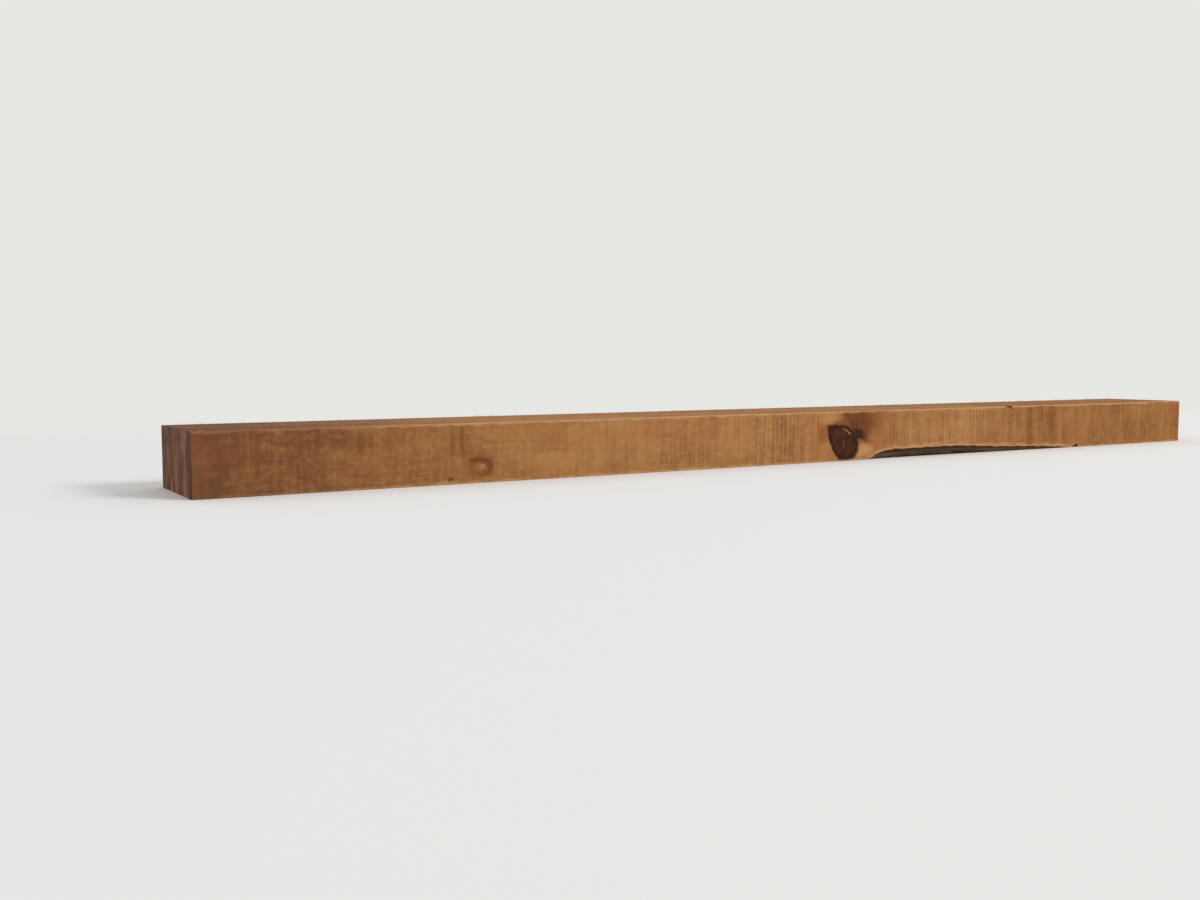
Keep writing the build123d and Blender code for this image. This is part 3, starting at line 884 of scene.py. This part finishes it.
def pine_log_surface():
    """The outside of the log under its bark: ridged along the grain, weathered grey-green, with brown inner
    bark left in strips and along the edge that the saw left. Its colours are darkened, partly as painted
    shade, and its lower part is painted near black as the shade beneath it."""
    material, tree, shader, place = blank_material("treated_log_surface", 0.78)
    share = (add(tree, "ShaderNodeAttribute", attribute_name="wane_share"), "Fac")
    noise = patterns(tree, place, (
        ("strips", (0.060, 0.006, 0.006), 4.0), ("patches", (0.085, 0.030, 0.030), 2.0),
        ("browner", (0.12, 0.02, 0.02), 2.0), ("grain", (0.030, 0.0015, 0.0015), 3.0)))
    tone = summed(tree, 0.5, [(noise["strips"], 1.5), (noise["patches"], 0.8)])
    # These colours are darkened, partly as painted shade.
    ramp = add(tree, "ShaderNodeValToRGB", {0: tone}, stops=(
        (0.1, "#22180c"), (0.4, "#42361d"), (0.6, "#544d32"), (0.9, "#7a6542")))
    brown = add(tree, "ShaderNodeMapRange", {0: noise["browner"], 1: 0.42, 2: 0.62, 3: 0.0, 4: 0.6})
    colour = layered(tree, (ramp, 0), ((brown, linear("#5a3a1c")),))
    colour = patches_over(tree, place, colour, LOG_STAINS, (1.3, 0.5))
    uneven = summed(tree, share, [(noise["strips"], 0.8), (noise["browner"], 0.5)])
    edge = add(tree, "ShaderNodeMapRange", {0: uneven, 1: 0.68, 2: 0.86, 3: 0.0, 4: 0.95},
               interpolation_type="SMOOTHSTEP")
    # The lower part of the wane is painted near black, as the shade beneath it.
    under = add(tree, "ShaderNodeMapRange", {0: uneven, 1: 0.38, 2: 0.12, 3: 0.0, 4: 0.8},
                interpolation_type="SMOOTHSTEP")
    colour = layered(tree, colour, ((edge, linear("#40200c")), (under, linear("#1c130a"))))
    coat(tree, shader, colour, summed(tree, 0.0, [(noise["strips"], 0.0016), (noise["grain"], 0.0006)]))
    return material


def torn_pine_fibre():
    """Splinters and curls of pine torn up by the saw: thin, dry and paler than the face they stand on."""
    material, tree, shader, place = blank_material("torn_pine_fibre", 0.88)
    noise = patterns(tree, place, (
        ("patches", (0.020, 0.006, 0.006), 2.0), ("streaks", (0.0008, 0.0003, 0.0003), 2.0)))
    ramp = add(tree, "ShaderNodeValToRGB", {0: noise["patches"]}, stops=(
        (0.30, "#94683f"), (0.50, "#b58c60"), (0.70, "#cdab80")))
    coat(tree, shader, (ramp, 0), summed(tree, 0.0, [(noise["streaks"], 0.00008)]))
    return material


def arris_lines():
    """The lines that fibres are torn from: the four long arrises, with the way out from each point."""
    along = np.arange(FIBRES_END_SHORT, LENGTH - FIBRES_END_SHORT, ROOT_STEP)
    log_height = wane_height(along)
    whole = np.ones_like(along)
    low_edge = np.maximum(log_height, ROOT_INSET)
    low_depth = np.where(log_height > ARRIS_RADIUS, ROOT_DEPTH_AT_WANE, ROOT_INSET)
    front, back = (FRONT + ROOT_INSET) * whole, (BACK - ROOT_INSET) * whole
    top, low = (THICKNESS - ROOT_INSET) * whole, ROOT_INSET * whole
    lines = (
        (front, top, (0.0, -0.75, 0.65)),
        (FRONT + low_depth, low_edge, (0.0, -1.0, 0.10)),
        (back, top, (0.0, 0.75, 0.65)),
        (back, low, (0.0, 1.0, 0.10)),
    )
    points = np.vstack([np.stack([along + LOW.x, y, z], -1) for y, z, _ in lines])
    outward = np.vstack([np.broadcast_to(out, (len(along), 3)) for _, _, out in lines])
    starts = np.arange(len(along) * len(lines)).reshape(len(lines), -1)[:, :-1].reshape(-1)
    mesh = bpy.data.meshes.new("torn_fibres")
    mesh.from_pydata(points.tolist(), np.stack([starts, starts + 1], -1).tolist(), [])
    mesh.attributes.new("outward", "FLOAT_VECTOR", "POINT").data.foreach_set(
        "vector", outward.astype(np.float32).reshape(-1))
    return mesh


def fibre_tree():
    """Stands tapered, curling fibres along lines, in clumps, most of them short and along the grain."""
    tree, given = new_tree("torn_fibres", {
        "NodeSocketFloat": ("Spacing", "Shortest", "Longest", "Share kept"),
        "NodeSocketInt": ("Seed",), "NodeSocketMaterial": ("Finish",)})
    line = add(tree, "GeometryNodeMeshToCurve", {"Mesh": (given, "Geometry")})
    rooted = add(tree, "GeometryNodeCurveToPoints", {"Curve": line, "Length": (given, "Spacing")},
                 mode="LENGTH")
    root_place = add(tree, "GeometryNodeInputPosition")
    clumps = add(tree, "ShaderNodeTexNoise", {"Vector": root_place, "Scale": 14.0, "Detail": 2.0})
    thick = add(tree, "ShaderNodeMapRange", {0: clumps, 1: 0.40, 2: 0.72})
    chance = add(tree, "ShaderNodeMath", {0: thick, 1: (given, "Share kept")}, operation="MULTIPLY")
    root_number = add(tree, "GeometryNodeInputIndex")
    draws = [(add(tree, "FunctionNodeRandomValue", {8: (given, "Seed"), 7: root_number}), 1)]
    for step in (1.0, 2.0, 3.0):
        seed = add(tree, "ShaderNodeMath", {0: (given, "Seed"), 1: step}, operation="ADD")
        draws.append((add(tree, "FunctionNodeRandomValue", {8: seed}), 1))
    dropped = add(tree, "ShaderNodeMath", {0: draws[0], 1: chance}, operation="GREATER_THAN")
    points = add(tree, "GeometryNodeDeleteGeometry", {"Geometry": rooted, "Selection": dropped},
                 domain="POINT")

    # Each shape tapers from a thin root to a point.
    width, height = FIBRE_SECTION
    profile = add(tree, "GeometryNodeCurvePrimitiveQuadrilateral", {"Width": width, "Height": height})
    factor = add(tree, "GeometryNodeSplineParameter")
    swell = add(tree, "ShaderNodeMapRange", {0: factor, 3: 0.12 * math.pi, 4: 0.92 * math.pi})
    taper = add(tree, "ShaderNodeMath", {0: swell}, operation="SINE")
    choice = add(tree, "GeometryNodeJoinGeometry")
    for bend, tip in FIBRE_CURVES:
        spine = add(tree, "GeometryNodeCurveQuadraticBezier", {
            "Resolution": 5, "Start": FIBRE_ROOT, "Middle": bend, "End": tip})
        shape = add(tree, "GeometryNodeCurveToMesh", {
            "Curve": spine, "Profile Curve": profile, "Scale": taper, "Fill Caps": True})
        single = add(tree, "GeometryNodeGeometryToInstance", {"Geometry": shape})
        tree.links.new(single.outputs[0], choice.inputs[0])

    mostly_short = add(tree, "ShaderNodeMath", {0: draws[1], 1: 3.5}, operation="POWER")
    size = add(tree, "ShaderNodeMapRange", {
        0: mostly_short, 1: 0.0, 2: 1.0, 3: (given, "Shortest"), 4: (given, "Longest")})
    side = add(tree, "ShaderNodeMath", {0: draws[2], 1: 0.5}, operation="GREATER_THAN")
    sign = add(tree, "ShaderNodeMath", {0: side, 1: 2.0, 2: -1.0}, operation="MULTIPLY_ADD")
    lean = add(tree, "ShaderNodeMapRange", {0: draws[3], 1: 0.0, 2: 1.0, 3: 0.02, 4: 0.26})
    outward = add(tree, "GeometryNodeInputNamedAttribute", {"Name": "outward"}, data_type="FLOAT_VECTOR")
    with_grain = add(tree, "ShaderNodeVectorMath", {0: (1.0, 0.0, 0.0), "Scale": sign}, operation="SCALE")
    off_face = add(tree, "ShaderNodeVectorMath", {0: outward, "Scale": lean}, operation="SCALE")
    heading = add(tree, "ShaderNodeVectorMath", {0: with_grain, 1: off_face}, operation="ADD")
    headed = add(tree, "FunctionNodeAlignRotationToVector", {"Vector": heading}, axis="X")
    rolled = add(tree, "FunctionNodeAlignRotationToVector", {"Rotation": headed, "Vector": outward},
                 axis="Z", pivot_axis="X")
    fibres = add(tree, "GeometryNodeInstanceOnPoints", {
        "Points": points, "Instance": choice, "Pick Instance": True, "Rotation": rolled, "Scale": size})
    real = add(tree, "GeometryNodeRealizeInstances", {"Geometry": fibres})
    grown_place = add(tree, "GeometryNodeInputPosition")
    squeezed = add(tree, "ShaderNodeVectorMath", {
        0: grown_place, 1: (1.0, 1.0, FLOOR_SQUEEZE), 2: (0.0, 0.0, FLOOR_CLEARANCE * (1 - FLOOR_SQUEEZE))},
        operation="MULTIPLY_ADD")
    kept_up = add(tree, "ShaderNodeVectorMath", {0: grown_place, 1: squeezed}, operation="MAXIMUM")
    clear = add(tree, "GeometryNodeSetPosition", {"Geometry": real, "Position": kept_up})
    finished = add(tree, "GeometryNodeSetMaterial", {"Geometry": clear, "Material": (given, "Finish")})
    add(tree, "NodeGroupOutput", {"Geometry": finished})
    return tree


def baulk_skin():
    """The skin, which stands for the CAD solid."""
    tree, settings = sawn_relief({"Sawn finish": treated_sawn_pine(), "End finish": pine_end_grain(),
                                  "Log finish": pine_log_surface()})
    baulk = grown("sawn_baulk", skin_mesh(), tree, settings)
    baulk.data.polygons.foreach_set("use_smooth", [True] * len(baulk.data.polygons))
    baulk.data.set_sharp_from_angle(angle=SMOOTH_BELOW)
    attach(baulk, "root")
    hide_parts("sleeper")


def torn_edges():
    """The torn fibres, as a piece of their own."""
    settings = {"Spacing": FIBRE_SPACING, "Shortest": SHORTEST_FIBRE, "Longest": LONGEST_FIBRE,
                "Share kept": FIBRES_KEPT, "Seed": FIBRE_SEED, "Finish": torn_pine_fibre()}
    fibres = grown("torn_fibres", arris_lines(), fibre_tree(), settings)
    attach(fibres, "root")


# The studio


def background_rays(tree):
    """Which rays show the background: those from the camera, and those seen in gloss or through glass."""
    path = add(tree, "ShaderNodeLightPath")
    seen = add(tree, "ShaderNodeMath", {0: (path, "Is Camera Ray"), 1: (path, "Is Glossy Ray")},
               operation="MAXIMUM")
    return add(tree, "ShaderNodeMath", {0: seen, 1: (path, "Is Transmission Ray")}, operation="MAXIMUM")


def studio_floor():
    """A pale floor that keeps the shadow and fades into the background well behind the sleeper."""
    material = bpy.data.materials.new("studio_floor")
    material.use_nodes = True
    tree = material.node_tree
    tree.nodes.clear()
    paint = add(tree, "ShaderNodeBsdfDiffuse", {"Color": linear(FLOOR_COLOUR)})
    place = (add(tree, "ShaderNodeTexCoord"), "Object")
    shorter = add(tree, "ShaderNodeVectorMath", {0: place, 1: FLOOR_FADE_SHAPE}, operation="MULTIPLY")
    away = (add(tree, "ShaderNodeVectorMath", {0: shorter}, operation="LENGTH"), "Value")
    far = add(tree, "ShaderNodeMapRange", {0: away, 1: FLOOR_FADE[0], 2: FLOOR_FADE[1]},
              interpolation_type="SMOOTHERSTEP")
    share = add(tree, "ShaderNodeMath", {0: far, 1: background_rays(tree)}, operation="MULTIPLY")
    glow = add(tree, "ShaderNodeEmission", {"Color": linear(BACKGROUND), "Strength": 1.0})
    mix = add(tree, "ShaderNodeMixShader", {0: share, 1: paint, 2: glow})
    add(tree, "ShaderNodeOutputMaterial", {"Surface": mix})
    half = FLOOR_SIDE / 2
    mesh = bpy.data.meshes.new("floor")
    corners = [(-half, -half, 0), (half, -half, 0), (half, half, 0), (-half, half, 0)]
    mesh.from_pydata(corners, [], [(0, 1, 2, 3)])
    mesh.materials.append(material)
    floor = bpy.data.objects.new("floor", mesh)
    bpy.context.scene.collection.objects.link(floor)


def soft_light():
    """Even light from all round, and one large lamp from the right that rakes across the saw's marks."""
    world = bpy.data.worlds.new("studio")
    bpy.context.scene.world = world
    world.use_nodes = True
    tree = world.node_tree
    tree.nodes.clear()
    light = add(tree, "ShaderNodeBackground", {"Color": (1.0, 1.0, 1.0, 1.0), "Strength": ROOM_LIGHT})
    seen = add(tree, "ShaderNodeBackground", {"Color": linear(BACKGROUND), "Strength": 1.0})
    mix = add(tree, "ShaderNodeMixShader", {0: background_rays(tree), 1: light, 2: seen})
    add(tree, "ShaderNodeOutputWorld", {"Surface": mix})
    lamp = bpy.data.lights.new("key", "AREA")
    lamp.energy = KEY_WATTS
    lamp.size = KEY_SIDE
    key = bpy.data.objects.new("key", lamp)
    key.location = KEY_PLACE
    key.rotation_euler = (-key.location).to_track_quat("-Z", "Y").to_euler()
    bpy.context.scene.collection.objects.link(key)


def photograph_camera():
    """The camera, where the photograph was taken from but just above the floor."""
    data = bpy.data.cameras.new("camera")
    data.sensor_width = SENSOR_WIDTH_MM
    data.lens = FOCAL_PIXELS / PHOTO_WIDTH_PIXELS * SENSOR_WIDTH_MM
    camera = bpy.data.objects.new("camera", data)
    place = Vector((LOW.x - CAMERA_BEFORE_END, FRONT - CAMERA_FROM_FACE, CAMERA_HEIGHT))
    aim = Matrix.Rotation(-CAMERA_BEARING, 4, "Z") @ Matrix.Rotation(math.pi / 2 + CAMERA_PITCH, 4, "X")
    camera.matrix_world = Matrix.Translation(place) @ aim
    bpy.context.scene.collection.objects.link(camera)
    bpy.context.scene.camera = camera
    bpy.context.scene.view_settings.view_transform = "Standard"


baulk_skin()
torn_edges()
studio_floor()
soft_light()
photograph_camera()
